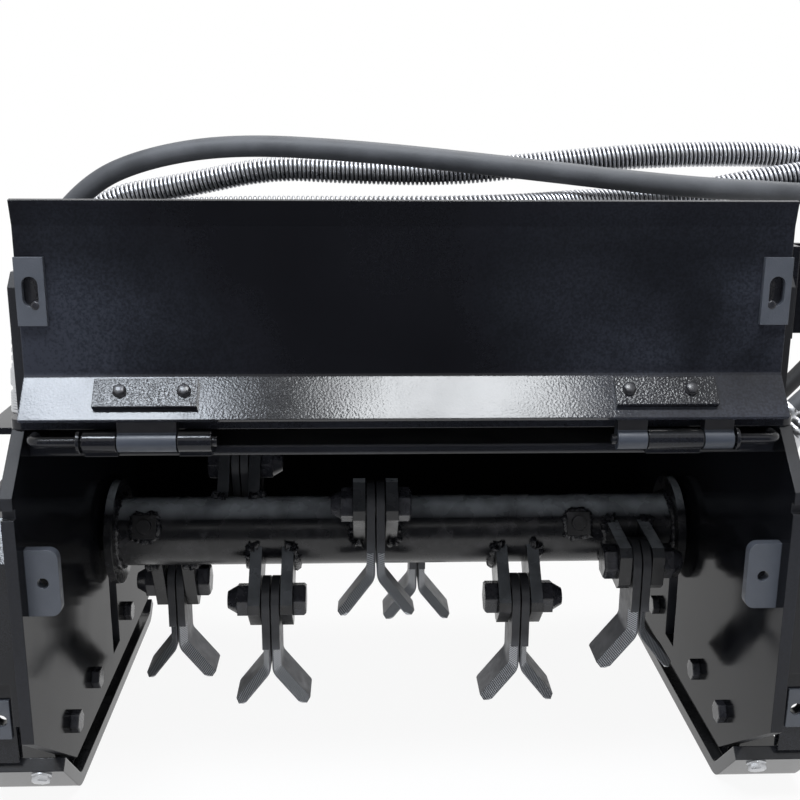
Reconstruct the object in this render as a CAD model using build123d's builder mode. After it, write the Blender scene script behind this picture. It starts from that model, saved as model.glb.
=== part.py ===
from build123d import *
import math
import os
from collections import namedtuple

os.makedirs("parts", exist_ok=True)

# Mulching head for a small excavator, all sizes in millimetres.
# X runs across the head, Y runs from the open mouth to the rear, Z is up from the floor.
# A size named "back" is a distance rearwards from the front edges of the side plates.

# Housing
inner_width = 600.0
side_t = 10.0
plate_depth = 478.0
half_in = inner_width / 2
half_out = half_in + side_t
mouth_top_z = 323.0
mouth_low_z = 114.0
ledge_z = 365.0
ledge_back = 42.0
ledge_t = 8.0
ledge_overhang = 2.0
ledge_lap = 2.0
ledge_corner_r = 10.0
plate_low_z = 30.0
plate_low_back = 111.0
horn_back = 62.0
horn_depth = 48.0
horn_top_z = 485.0
horn_chamfer = 11.0
hood_top_z = 430.0
hood_top_start = 150.0
hood_slope_run = 78.0
hood_top_end = plate_depth - hood_slope_run
plate_rear_z = 300.0
plate_corner_r = 25.0
notch_z = 305.0
notch_h = 8.0
notch_depth = 5.0
hood_t = 6.0
bar_z = 341.0
bar_t = 8.0
bar_back = 50.0
bar_depth = 62.0
liner_t = 6.0
chamber_gap = 12.0
rear_low_z = 112.0
tab_w = 26.0
tab_h = 56.0
tab_t = 8.0
tab_back = 15.0
tab_corner_r = 8.0
lock_x = half_in - tab_w / 2
lock_hole_z = 247.0
lock_hole_d = 9.0

# Skids and guards
skid_lap = 12.0
skid_overhang = 62.0
skid_in = half_out - skid_lap
skid_out = half_out + skid_overhang
skid_t = 12.0
skid_front_back = 62.0
skid_front_z = 48.0
skid_flat_back = 108.0
skid_setback = 26.0
heel_setback = 8.0
skid_rear_back = plate_depth - skid_setback
skid_heel_back = plate_depth - heel_setback
skid_heel_z = 14.0
skid_bend_r = 25.0
upright_t = 10.0
upright_front = 92.0
upright_setback = 38.0
upright_rear = plate_depth - upright_setback
upright_top_z = 105.0
upright_slant = 30.0
skid_bolt_z = 70.0
skid_bolt_backs = (107.0, 186.0, 334.0)
skid_bolt_af = 18.0
skid_bolt_h = 7.5
guard_low_z = 135.0
guard_front = 58.0
guard_knee_z = 245.0
guard_top_z = 275.0
guard_slope = 30.0
guard_rear = plate_depth - skid_setback
guard_t = 5.0
guard_tab_w = 26.0
guard_tab_h = 40.0
guard_tab_t = 8.0
guard_tab_hole_d = 13.0

# Rotor
rear_room = 195.0
axis_back = plate_depth - rear_room
axis_z = 185.0
tube_d = 71.0
disc_d = 108.0
disc_t = 8.0
disc_gap = 7.0
tube_half = half_in - disc_gap - disc_t
shaft_d = 40.0
shaft_gap = 0.05
shaft_run = 30.0
shaft_room = 5.0
shaft_end = half_out + shaft_run
plate_shaft_d = 54.0
shaft_slot_w = 30.0
shaft_slot_z = 52.0
bearing_w = 86.0
bearing_t = 36.0
motor_d = 88.0
motor_gap = 3.0
motor_l = skid_overhang - guard_t - motor_gap
lug_t = 12.0
lug_gap = 20.0
lug_w = 44.0
lug_reach = 22.0
lug_chamfer = 7.0
lug_root = 8.0
bolt_r = 76.0
bolt_d = 20.0
bolt_gap = 0.05
bolt_af = 30.0
head_h = 13.0
head_chamfer_h = 2.0
head_taper = 40.0
nut_h = 12.0
nut_collar_h = 10.0
nut_collar_d = 29.0
nut_taper = 30.0
plug_w = 24.0
plug_h = 5.0
plug_head_d = 15.0
plug_head_h = 4.0
plug_angle = 27.0
plug_xs = (-0.853 * half_in, 0.62 * half_in)

# Flails
blade_t = 8.0
blade_w = 48.0
blade_split = 1.5
blade_straight = 68.0
wing_drop = 38.0
wing_out = 30.0
blade_bend_r = 14.0
wing_corner = 4.0
bevel_run = 11.0
bevel_start = 44.0
cutting_edge_t = 1.5

# Flap
hinge_back = 22.0
hinge_z = 361.0
knuckle_d = 16.0
knuckle_gap = 1.0
leaf_low = 6.0
leaf_high = 20.0
pin_d = 8.0
pin_gap = 0.05
pin_setback = 10.0
pin_out = half_in - pin_setback
pin_stub = 4.0
pin_tail = 15.0
pin_bend_r = 7.0
pin_collar_d = 18.0
pin_collar_t = 2.5
pin_collar_gap = 2.0
leaf_t = 7.0
leaf_run = 14.0
flap_gap = 5.0
flap_half = half_in - flap_gap
flap_t = 4.0
flange_back = 12.0
flange_z = 381.0
panel_back = 38.0
bend_z = 410.0
lip_z = 524.0
flap_top_back = 34.0
flap_top_z = 543.0
flap_bend_r = 6.0
slot_w = 12.0
slot_setback = 11.0
slot_x = flap_half - slot_setback
slot_h = 23.0
slot_z = 475.0
slot_tab_w = 22.0
slot_tab_h = 52.0
slot_tab_t = 4.0
backing_t = 5.0
backing_w = 79.0
backing_h = 24.0
backing_up = 21.0
backing_x = 0.667 * half_in
stop_d = 22.0
stop_x = 0.767 * half_in
stop_z = 420.0
stop_gap = 0.3

# Hitch
hitch_base_t = 12.0
hitch_base_half = 110.0
hitch_base_front = 155.0
hitch_base_depth = 245.0
ear_gap = 110.0
ear_t = 15.0
ear_front = 165.0
ear_rear = 390.0
ear_top_z = 520.0
ear_lean = 8.0
ear_corner = 20.0
bore_d = 30.2
boss_d = 62.0
boss_t = 8.0
bore_z = 485.0
bore_backs = (198.0, 337.0)
rib_t = 10.0
rib_run = 36.0
rib_h = 52.0

# Hoses
hose_d = 19.0
guarded_d = 21.0
fitting_d = 25.0
fitting_run = 30.0
fitting_x = half_out + fitting_run
elbow_out = 23.0
elbow_up = 31.0
fitting_bend_r = 14.0
coupling_d = 30.0
coupling_l = 48.0
rest_z = 340.0
rest_w = 56.0
rest_t = 6.0
rest_leg = 40.0
rest_front = 136.0
rest_rear = 298.0
bracket_w = 36.0
bracket_t = 6.0
bracket_back = 104.0
bracket_front = 74.0
bracket_low_z = 430.0
bracket_high_z = 505.0

Hand = namedtuple("Hand", "name sign")
hands = (Hand("left", -1), Hand("right", 1))

# Angles are degrees above the level line that points out of the mouth
Lug = namedtuple("Lug", "name x lug_angle hang_angle nut_sign")
lugs = (
    Lug("flail_1", -0.785 * half_in, -114.0, -90.0, -1),
    Lug("flail_2", -0.425 * half_in, -45.0, -90.0, -1),
    Lug("flail_3", -0.075 * half_in, 40.0, -80.0, -1),
    Lug("flail_4", 0.085 * half_in, -162.0, -90.0, 1),
    Lug("flail_5", 0.41 * half_in, -45.0, -90.0, 1),
    Lug("flail_6", 0.79 * half_in, -5.0, -90.0, 1),
    Lug("flail_7", -0.55 * half_in, 130.0, -110.0, 1),
)

# Each hinge has a middle knuckle on one side and two outer knuckles on the other
Hinge = namedtuple("Hinge", "sign x half_length half_middle middle_on_flap")
hinges = (
    Hinge(-1, -0.667 * half_in, 49.0, 22.5, True),
    Hinge(1, 0.695 * half_in, 45.5, 21.5, False),
)
Knuckle = namedtuple("Knuckle", "x_low x_high on_flap")
knuckles = []
for hinge in hinges:
    joint = hinge.half_middle + knuckle_gap
    knuckles.append(Knuckle(hinge.x - hinge.half_length, hinge.x - joint, not hinge.middle_on_flap))
    knuckles.append(Knuckle(hinge.x - hinge.half_middle, hinge.x + hinge.half_middle, hinge.middle_on_flap))
    knuckles.append(Knuckle(hinge.x + joint, hinge.x + hinge.half_length, not hinge.middle_on_flap))

# Hose routes as (x, back, z), from above the elbow on the guard to the coupling
Hose = namedtuple("Hose", "name diameter route")
hoses = (
    Hose("hose_plain", hose_d, (
        (465, 225, 408), (465, 225, 482), (412, 225, 535), (240, 227, 546), (95, 229, 562), (-40, 229, 575),
        (-150, 227, 580), (-228, 227, 568), (-283, 230, 545), (-332, 232, 490), (-332, 232, rest_z + coupling_l),
    )),
    Hose("hose_guarded_high", guarded_d, (
        (475, 270, 418), (475, 270, 508), (412, 270, 571), (265, 271, 572), (140, 272, 562), (50, 272, 552),
        (-50, 272, 554), (-120, 272, 558), (-205, 273, 540), (-286, 274, 527), (-332, 274, 470),
        (-332, 274, rest_z + coupling_l),
    )),
    Hose("hose_guarded_low", guarded_d, (
        (469, 185, 412), (469, 185, 495), (412, 185, 552), (330, 186, 553), (265, 187, 536), (180, 188, 536),
        (90, 188, 534), (-30, 188, 532), (-140, 184, 533), (-205, 175, 534), (-270, 166, 527), (-332, 160, 470),
        (-332, 160, rest_z + coupling_l),
    )),
)


def back(distance):
    return distance - plate_depth / 2


def outline(pairs):
    return [(back(b), z) for b, z in pairs]


def across(x):
    return Plane.YZ.offset(x)


def low_x(sign, near, far):
    return min(sign * near, sign * far)


def reach(angle):
    a = math.radians(angle)
    return Vector(0, -math.cos(a), math.sin(a))


def axis_point(x):
    return Vector(x, back(axis_back), axis_z)


def bolt_point(lug):
    return axis_point(lug.x) + reach(lug.lug_angle) * bolt_r


def route_points(route):
    points = [Vector(x, back(b), z) for x, b, z in route]
    start = Vector(fitting_x + elbow_out, points[0].Y, guard_top_z + elbow_up)
    return [start] + points


def route_radii(route):
    radii = []
    for before, at, after in zip(route, route[1:], route[2:]):
        turn = (at - before).get_angle(after - at)
        run = min((at - before).length, (after - at).length)
        radii.append(0.45 * run / math.tan(math.radians(turn / 2)))
    return radii


# Side plates with a chamfered mouth, a horn behind the flap and a slot for the shaft
for hand in hands:
    with BuildPart() as side_plate:
        with BuildSketch(across(low_x(hand.sign, half_in, half_out))):
            with BuildLine():
                Polyline(*outline((
                    (ledge_back + ledge_lap, ledge_z), (0, mouth_top_z), (0, notch_z + notch_h),
                    (notch_depth, notch_z + notch_h), (notch_depth, notch_z), (0, notch_z), (0, mouth_low_z),
                    (plate_low_back, plate_low_z), (plate_depth, plate_low_z), (plate_depth, plate_rear_z),
                    (hood_top_end, hood_top_z), (hood_top_start, hood_top_z),
                    (horn_back + horn_depth, horn_top_z), (horn_back + horn_chamfer, horn_top_z),
                    (horn_back, horn_top_z - horn_chamfer), (horn_back, ledge_z),
                )), close=True)
            make_face()
            with Locations((back(axis_back), axis_z)):
                Circle(plate_shaft_d / 2, mode=Mode.SUBTRACT)
            with Locations((back(axis_back), (axis_z + shaft_slot_z) / 2)):
                Rectangle(shaft_slot_w, axis_z - shaft_slot_z, mode=Mode.SUBTRACT)
        extrude(amount=side_t)
        low_rear = side_plate.edges().filter_by(Axis.X).group_by(Axis.Z)[0].sort_by(Axis.Y)[-1]
        fillet(low_rear, plate_corner_r)
    side_plate.part.label = "side_plate_" + hand.name
    export_step(side_plate.part, "parts/side_plate_" + hand.name + ".step")

# Ledge strip over the mouth, with round front corners
with BuildPart() as roof_ledge:
    with BuildSketch(Plane.XY.offset(ledge_z)):
        with Locations((0, back((ledge_back + horn_back) / 2))):
            Rectangle(2 * (half_out + ledge_overhang), horn_back - ledge_back)
    extrude(amount=ledge_t)
    fillet(roof_ledge.edges().filter_by(Axis.Z).group_by(Axis.Y)[0], ledge_corner_r)
roof_ledge.part.label = "roof_ledge"
export_step(roof_ledge.part, "parts/roof_ledge.step")

# Bar between the side plates that carries the hinges
with BuildPart() as front_bar:
    with BuildSketch(Plane.XY.offset(bar_z)):
        with Locations((0, back(bar_back + bar_depth / 2))):
            Rectangle(inner_width, bar_depth)
    extrude(amount=bar_t)
front_bar.part.label = "front_bar"
export_step(front_bar.part, "parts/front_bar.step")

# Outer hood bent over the top and down the rear
with BuildPart() as hood:
    with BuildSketch(across(-half_in)):
        with BuildLine():
            Polyline(*outline((
                (horn_back, ledge_z + ledge_t), (horn_back, hood_top_z), (hood_top_end, hood_top_z),
                (plate_depth, plate_rear_z), (plate_depth, rear_low_z),
            )))
            offset(amount=hood_t, side=Side.RIGHT, kind=Kind.INTERSECTION)
        make_face()
    extrude(amount=inner_width)
hood.part.label = "hood"
export_step(hood.part, "parts/hood.step")

# Chamber liner bent round the rotor, from the hinge bar to the rear of the hood
tip_r = bolt_r + blade_straight + wing_drop
liner_r = tip_r + chamber_gap
liner_rear = plate_depth - hood_t - liner_t
with BuildPart() as chamber_liner:
    with BuildSketch(across(-half_in)):
        with BuildLine():
            Polyline(*outline((
                (bar_back + bar_depth, bar_z + bar_t), (bar_back + bar_depth, axis_z + liner_r),
                (axis_back + 0.3 * liner_r, axis_z + 1.05 * liner_r),
                (axis_back + 0.78 * liner_r, axis_z + 0.76 * liner_r),
                (liner_rear, axis_z + 0.3 * liner_r),
            )))
            offset(amount=liner_t, side=Side.LEFT, kind=Kind.INTERSECTION)
        make_face()
    extrude(amount=inner_width)
chamber_liner.part.label = "chamber_liner"
export_step(chamber_liner.part, "parts/chamber_liner.step")

# Tabs on the side plates that the closed flap is pinned to
with BuildPart() as lock_tabs:
    for hand in hands:
        with BuildSketch(Plane.XZ.offset(-back(tab_back))):
            with Locations((hand.sign * (half_in - tab_w / 2), lock_hole_z)):
                tab = Rectangle(tab_w, tab_h)
            inner_corners = tab.vertices().sort_by(Axis.X, reverse=hand.sign < 0)[:2]
            fillet(inner_corners, tab_corner_r)
            with Locations((hand.sign * lock_x, lock_hole_z)):
                Circle(lock_hole_d / 2, mode=Mode.SUBTRACT)
        extrude(amount=-tab_t)
lock_tabs.part.label = "lock_tabs"
export_step(lock_tabs.part, "parts/lock_tabs.step")

# Skids: a bent runner with an upright that is bolted to the side plate
for hand in hands:
    with BuildPart() as skid:
        with BuildSketch(across(low_x(hand.sign, skid_in, skid_out))):
            with BuildLine():
                FilletPolyline(*outline((
                    (skid_front_back, skid_front_z), (skid_flat_back, 0), (skid_rear_back, 0),
                    (skid_heel_back, skid_heel_z),
                )), radius=skid_bend_r)
                offset(amount=skid_t, side=Side.LEFT)
            make_face()
        extrude(amount=skid_out - skid_in)
        with BuildSketch(across(low_x(hand.sign, half_out, half_out + upright_t))):
            with BuildLine():
                Polyline(*outline((
                    (upright_front + upright_slant, skid_t / 2), (upright_front, upright_top_z - upright_slant),
                    (upright_front + upright_slant, upright_top_z), (upright_rear, upright_top_z),
                    (upright_rear, skid_t / 2),
                )), close=True)
            make_face()
        extrude(amount=upright_t)
    skid.part.label = "skid_" + hand.name
    export_step(skid.part, "parts/skid_" + hand.name + ".step")

# Heads of the skid bolts inside the side plates, and their nuts on the uprights
with BuildPart() as skid_bolts:
    for hand in hands:
        for face_x in (half_in - skid_bolt_h, half_out + upright_t):
            with BuildSketch(across(low_x(hand.sign, face_x, face_x + skid_bolt_h))):
                with Locations(*outline([(b, skid_bolt_z) for b in skid_bolt_backs])):
                    RegularPolygon(skid_bolt_af / 2, 6, major_radius=False)
            extrude(amount=skid_bolt_h)
skid_bolts.part.label = "skid_bolts"
export_step(skid_bolts.part, "parts/skid_bolts.step")

# Guards: pans open towards the side plates, with a drilled tab under the front wall
for hand in hands:
    with BuildPart() as guard:
        guard_line = outline((
            (guard_front, guard_low_z), (guard_front, guard_knee_z), (guard_front + guard_slope, guard_top_z),
            (guard_rear - guard_slope, guard_top_z), (guard_rear, guard_knee_z), (guard_rear, guard_low_z),
        ))
        with BuildSketch(across(low_x(hand.sign, half_out, skid_out))):
            with BuildLine():
                Polyline(*guard_line, close=True)
            make_face()
        extrude(amount=skid_out - half_out)
        with BuildSketch(across(low_x(hand.sign, half_out, skid_out - guard_t))):
            with BuildLine():
                Polyline(*guard_line, close=True)
            make_face()
            offset(amount=-guard_t, kind=Kind.INTERSECTION, mode=Mode.REPLACE)
        extrude(amount=skid_out - guard_t - half_out, mode=Mode.SUBTRACT)
        with BuildSketch(Plane.XZ.offset(-back(guard_front))):
            with Locations((hand.sign * (half_out + guard_tab_w / 2), guard_low_z - guard_tab_h / 2 + guard_t / 2)):
                Rectangle(guard_tab_w, guard_tab_h + guard_t)
            with Locations((hand.sign * (half_out + guard_tab_w / 2), guard_low_z - guard_tab_h / 2)):
                Circle(guard_tab_hole_d / 2, mode=Mode.SUBTRACT)
        extrude(amount=-guard_tab_t)
    guard.part.label = "guard_" + hand.name
    export_step(guard.part, "parts/guard_" + hand.name + ".step")

# Bearing on the left side plate, a plain block inside its guard
with BuildPart() as bearing:
    with BuildSketch(across(-half_out - bearing_t)):
        with Locations((back(axis_back), axis_z)):
            Rectangle(bearing_w, bearing_w)
            Circle(shaft_d / 2 + shaft_gap, mode=Mode.SUBTRACT)
    extrude(amount=bearing_t)
bearing.part.label = "bearing"
export_step(bearing.part, "parts/bearing.step")

# Hydraulic motor on the right side plate, a plain block inside its guard
with BuildPart() as motor:
    with BuildSketch(across(half_out)):
        with Locations((back(axis_back), axis_z)):
            Circle(motor_d / 2)
    extrude(amount=motor_l)
    with BuildSketch(across(half_out)):
        with Locations((back(axis_back), axis_z)):
            Circle(shaft_d / 2 + shaft_gap)
    extrude(amount=shaft_run + shaft_room, mode=Mode.SUBTRACT)
motor.part.label = "motor"
export_step(motor.part, "parts/motor.step")

# Hitch base on the hood
with BuildPart() as hitch_base:
    with BuildSketch(Plane.XY.offset(hood_top_z)):
        with Locations((0, back(hitch_base_front + hitch_base_depth / 2))):
            Rectangle(2 * hitch_base_half, hitch_base_depth)
    extrude(amount=hitch_base_t)
hitch_base.part.label = "hitch_base"
export_step(hitch_base.part, "parts/hitch_base.step")

# Hitch ears with bossed pin bores and a rib each
ear_low_z = hood_top_z + hitch_base_t
for hand in hands:
    with BuildPart() as ear:
        with BuildSketch(across(low_x(hand.sign, ear_gap / 2, ear_gap / 2 + ear_t))):
            with BuildLine():
                Polyline(*outline((
                    (ear_front, ear_low_z), (ear_front + ear_lean, ear_top_z - ear_corner),
                    (ear_front + ear_lean + ear_corner, ear_top_z), (ear_rear - ear_lean - ear_corner, ear_top_z),
                    (ear_rear - ear_lean, ear_top_z - ear_corner), (ear_rear, ear_low_z),
                )), close=True)
            make_face()
        extrude(amount=ear_t)
        with BuildSketch(across(low_x(hand.sign, ear_gap / 2 + ear_t, ear_gap / 2 + ear_t + boss_t))):
            with Locations(*outline([(b, bore_z) for b in bore_backs])):
                Circle(boss_d / 2)
        extrude(amount=boss_t)
        with BuildSketch(across(low_x(hand.sign, ear_gap / 2, ear_gap / 2 + ear_t + boss_t))):
            with Locations(*outline([(b, bore_z) for b in bore_backs])):
                Circle(bore_d / 2)
        extrude(amount=ear_t + boss_t, mode=Mode.SUBTRACT)
        rib_x = hand.sign * (ear_gap / 2 + ear_t)
        with BuildSketch(Plane.XZ.offset(-back((ear_front + ear_rear - rib_t) / 2))):
            with BuildLine():
                Polyline(
                    (rib_x, ear_low_z), (rib_x + hand.sign * rib_run, ear_low_z), (rib_x, ear_low_z + rib_h),
                    close=True)
            make_face()
        extrude(amount=-rib_t)
    ear.part.label = "hitch_ear_" + hand.name
    export_step(ear.part, "parts/hitch_ear_" + hand.name + ".step")

# Hinge knuckles on the housing
leaf_z = bar_z + bar_t
with BuildPart() as housing_knuckles:
    for knuckle in knuckles:
        if not knuckle.on_flap:
            with BuildSketch(across(knuckle.x_low)):
                with Locations((back(hinge_back), hinge_z)):
                    Circle(knuckle_d / 2)
                leaf_end = bar_back + leaf_run
                with Locations((back((hinge_back + leaf_end) / 2), leaf_z + leaf_t / 2)):
                    Rectangle(leaf_end - hinge_back, leaf_t)
                with Locations((back(hinge_back), hinge_z)):
                    Circle(pin_d / 2 + pin_gap, mode=Mode.SUBTRACT)
            extrude(amount=knuckle.x_high - knuckle.x_low)
housing_knuckles.part.label = "housing_knuckles"
export_step(housing_knuckles.part, "parts/housing_knuckles.step")

# Hinge pins with a collar and a bent tail
with BuildPart() as hinge_pins:
    for hinge in hinges:
        pin_inner = hinge.x - hinge.sign * (hinge.half_length + pin_stub)
        collar_x = abs(hinge.x) + hinge.half_length + pin_collar_gap
        with BuildLine():
            pin_line = FilletPolyline(
                (pin_inner, back(hinge_back), hinge_z),
                (hinge.sign * pin_out, back(hinge_back), hinge_z),
                (hinge.sign * pin_out, back(hinge_back + pin_tail), hinge_z),
                radius=pin_bend_r,
            )
        with BuildSketch(Plane(origin=pin_line @ 0, z_dir=pin_line % 0)):
            Circle(pin_d / 2)
        sweep(path=pin_line)
        with BuildSketch(across(low_x(hinge.sign, collar_x, collar_x + pin_collar_t))):
            with Locations((back(hinge_back), hinge_z)):
                Circle(pin_collar_d / 2)
        extrude(amount=pin_collar_t)
hinge_pins.part.label = "hinge_pins"
export_step(hinge_pins.part, "parts/hinge_pins.step")

# Rubber stops that the raised flap leans on
with BuildPart() as flap_stops:
    stop_front = panel_back + flap_t + stop_gap
    with BuildSketch(Plane.XZ.offset(-back(horn_back))):
        with Locations((-stop_x, stop_z), (stop_x, stop_z)):
            Circle(stop_d / 2)
    extrude(amount=horn_back - stop_front)
flap_stops.part.label = "flap_stops"
export_step(flap_stops.part, "parts/flap_stops.step")

# Angle bracket on the right horn
with BuildPart() as hose_bracket:
    with BuildSketch(Plane.XY.offset(bracket_low_z)):
        with Locations((half_out + bracket_t / 2, back((bracket_front + bracket_back) / 2))):
            Rectangle(bracket_t, bracket_back - bracket_front)
        with Locations((half_out + bracket_w / 2, back(bracket_back - bracket_t / 2))):
            Rectangle(bracket_w, bracket_t)
    extrude(amount=bracket_high_z - bracket_low_z)
hose_bracket.part.label = "hose_bracket"
export_step(hose_bracket.part, "parts/hose_bracket.step")

# Flap sheet with a bent flange, a bent lip and two slots
flange_turn = Vector(panel_back - flange_back, bend_z - flange_z, 0).normalized()
with BuildPart() as flap_sheet:
    with BuildSketch(across(-flap_half)):
        with BuildLine():
            FilletPolyline(*outline((
                (flange_back, flange_z), (panel_back, bend_z), (panel_back, lip_z), (flap_top_back, flap_top_z),
            )), radius=flap_bend_r)
            offset(amount=flap_t, side=Side.RIGHT)
        make_face()
    extrude(amount=2 * flap_half)
    with BuildSketch(Plane.XZ):
        with Locations((-slot_x, slot_z), (slot_x, slot_z)):
            SlotOverall(slot_h, slot_w, rotation=90)
    extrude(amount=plate_depth, both=True, mode=Mode.SUBTRACT)
flap_sheet.part.label = "flap_sheet"
export_step(flap_sheet.part, "parts/flap_sheet.step")

# Slotted tabs on the flap
with BuildPart() as slot_tabs:
    with BuildSketch(Plane.XZ.offset(-back(panel_back))):
        for hand in hands:
            with Locations((hand.sign * (flap_half - slot_tab_w / 2), slot_z)):
                Rectangle(slot_tab_w, slot_tab_h)
        with Locations((-slot_x, slot_z), (slot_x, slot_z)):
            SlotOverall(slot_h, slot_w, rotation=90, mode=Mode.SUBTRACT)
    extrude(amount=slot_tab_t)
slot_tabs.part.label = "slot_tabs"
export_step(slot_tabs.part, "parts/slot_tabs.step")

# Backing plates on the flange
flange_plane = Plane(
    origin=(0, back(flange_back), flange_z), x_dir=(1, 0, 0), z_dir=(0, -flange_turn.Y, flange_turn.X))
with BuildPart() as backing_plates:
    with BuildSketch(flange_plane):
        with Locations((-backing_x, backing_up), (backing_x, backing_up)):
            Rectangle(backing_w, backing_h)
    extrude(amount=backing_t)
backing_plates.part.label = "backing_plates"
export_step(backing_plates.part, "parts/backing_plates.step")

# Hinge knuckles on the flap
under_back = flange_back + flap_t * flange_turn.Y
under_z = flange_z - flap_t * flange_turn.X
with BuildPart() as flap_knuckles:
    for knuckle in knuckles:
        if knuckle.on_flap:
            with BuildSketch(across(knuckle.x_low)):
                with BuildLine():
                    Polyline(*outline((
                        (under_back + leaf_low * flange_turn.X, under_z + leaf_low * flange_turn.Y),
                        (under_back + leaf_high * flange_turn.X, under_z + leaf_high * flange_turn.Y),
                        (hinge_back + 0.5 * knuckle_d, hinge_z), (hinge_back - 0.2 * knuckle_d, hinge_z),
                    )), close=True)
                make_face()
                with Locations((back(hinge_back), hinge_z)):
                    Circle(knuckle_d / 2)
                    Circle(pin_d / 2 + pin_gap, mode=Mode.SUBTRACT)
            extrude(amount=knuckle.x_high - knuckle.x_low)
flap_knuckles.part.label = "flap_knuckles"
export_step(flap_knuckles.part, "parts/flap_knuckles.step")

# Rotor: tube, end discs, stub shafts, lugs in pairs and balance plugs
with BuildPart() as rotor_drum:
    for radius, half_length in ((tube_d / 2, tube_half), (shaft_d / 2, shaft_end)):
        with BuildSketch(across(-half_length)):
            with Locations((back(axis_back), axis_z)):
                Circle(radius)
        extrude(amount=2 * half_length)
    for hand in hands:
        with BuildSketch(across(low_x(hand.sign, tube_half, tube_half + disc_t))):
            with Locations((back(axis_back), axis_z)):
                Circle(disc_d / 2)
        extrude(amount=disc_t)
    for lug in lugs:
        for offset_x in (-lug_gap / 2 - lug_t, lug_gap / 2):
            lug_plane = Plane(
                origin=axis_point(lug.x + offset_x), x_dir=reach(lug.lug_angle), z_dir=(1, 0, 0))
            with BuildSketch(lug_plane):
                with BuildLine():
                    end = bolt_r + lug_reach
                    Polyline(
                        (tube_d / 2 - lug_root, -lug_w / 2), (end - lug_chamfer, -lug_w / 2),
                        (end, lug_chamfer - lug_w / 2), (end, lug_w / 2 - lug_chamfer),
                        (end - lug_chamfer, lug_w / 2), (tube_d / 2 - lug_root, lug_w / 2), close=True)
                make_face()
                with Locations((bolt_r, 0)):
                    Circle(bolt_d / 2 + bolt_gap, mode=Mode.SUBTRACT)
            extrude(amount=lug_t)
    for plug_x in plug_xs:
        plug_plane = Plane(origin=axis_point(plug_x), x_dir=(1, 0, 0), z_dir=reach(plug_angle))
        with BuildSketch(plug_plane):
            Rectangle(plug_w, plug_w)
        extrude(amount=tube_d / 2 + plug_h)
        with BuildSketch(plug_plane):
            Circle(plug_head_d / 2)
        extrude(amount=tube_d / 2 + plug_h + plug_head_h)
rotor_drum.part.label = "rotor_drum"
export_step(rotor_drum.part, "parts/rotor_drum.step")

# Flail bolts, each with a chamfered head and a domed nut
with BuildPart() as flail_bolts:
    lug_out = lug_gap / 2 + lug_t
    for lug in lugs:
        head_x = lug_out + head_h - head_chamfer_h
        for start, length, turned, taper, shape, sizes in (
            (-lug_out, 2 * lug_out, 1, 0, Circle, (bolt_d / 2,)),
            (-lug_out, head_h - head_chamfer_h, -1, 0, RegularPolygon, (bolt_af / 2, 6, False)),
            (-head_x, head_chamfer_h, -1, head_taper, RegularPolygon, (bolt_af / 2, 6, False)),
            (lug_out, nut_h, 1, 0, RegularPolygon, (bolt_af / 2, 6, False)),
            (lug_out + nut_h, nut_collar_h, 1, nut_taper, Circle, (nut_collar_d / 2,)),
        ):
            bolt_plane = Plane(
                origin=bolt_point(lug) + Vector(lug.nut_sign * start, 0, 0),
                x_dir=reach(lug.lug_angle), z_dir=(lug.nut_sign * turned, 0, 0))
            with BuildSketch(bolt_plane):
                shape(*sizes)
            extrude(amount=length, taper=taper)
flail_bolts.part.label = "flail_bolts"
export_step(flail_bolts.part, "parts/flail_bolts.step")

# Flails: pairs of blades that hang from one bolt, bend apart and are ground along the front edge
for lug in lugs:
    hang = reach(lug.hang_angle)
    wide = Vector(1, 0, 0).cross(-hang)
    with BuildPart() as flail:
        for hand in hands:
            middle = hand.sign * (blade_split + blade_t) / 2
            with BuildLine(Plane(origin=bolt_point(lug), x_dir=(1, 0, 0), z_dir=wide)):
                blade_line = FilletPolyline(
                    (middle, blade_w / 2), (middle, -blade_straight),
                    (middle + hand.sign * wing_out, -blade_straight - wing_drop), radius=blade_bend_r)
            top_plane = Plane(origin=blade_line @ 0, x_dir=(1, 0, 0), z_dir=hang)
            outer_x = hand.sign * blade_t / 2
            edge_x = hand.sign * (cutting_edge_t - blade_t / 2)
            with BuildSketch(top_plane):
                with BuildLine():
                    Polyline(
                        (-outer_x, -blade_w / 2), (outer_x, -blade_w / 2), (outer_x, blade_w / 2 - bevel_run),
                        (edge_x, blade_w / 2), (-outer_x, blade_w / 2), close=True)
                make_face()
            sweep(path=blade_line)
            with BuildSketch(top_plane):
                Rectangle(blade_t, blade_w)
            extrude(amount=blade_w / 2 + bevel_start)
        blade_end = blade_straight + wing_drop
        with BuildSketch(Plane(origin=bolt_point(lug), x_dir=wide, z_dir=(1, 0, 0))):
            with BuildLine():
                half = blade_w / 2
                Polyline(
                    (-half, 0), (-half, blade_end - wing_corner), (wing_corner - half, blade_end),
                    (half - wing_corner, blade_end), (half, blade_end - wing_corner), (half, 0))
                ThreePointArc((half, 0), (0, -half), (-half, 0))
            make_face()
            Circle(bolt_d / 2 + bolt_gap, mode=Mode.SUBTRACT)
        extrude(amount=lug_out + wing_out, both=True, mode=Mode.INTERSECT)
    flail.part.label = lug.name
    export_step(flail.part, "parts/" + lug.name + ".step")

# Elbows on the right guard that the hoses leave from
with BuildPart() as hose_elbows:
    for hose in hoses:
        start = route_points(hose.route)[0]
        rise = start.X - fitting_x
        with BuildLine():
            elbow_line = FilletPolyline(
                (fitting_x, start.Y, guard_top_z), (fitting_x, start.Y, start.Z - rise), start, radius=fitting_bend_r)
        with BuildSketch(Plane(origin=elbow_line @ 0, z_dir=elbow_line % 0)):
            Circle(fitting_d / 2)
        sweep(path=elbow_line)
hose_elbows.part.label = "hose_elbows"
export_step(hose_elbows.part, "parts/hose_elbows.step")

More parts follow.
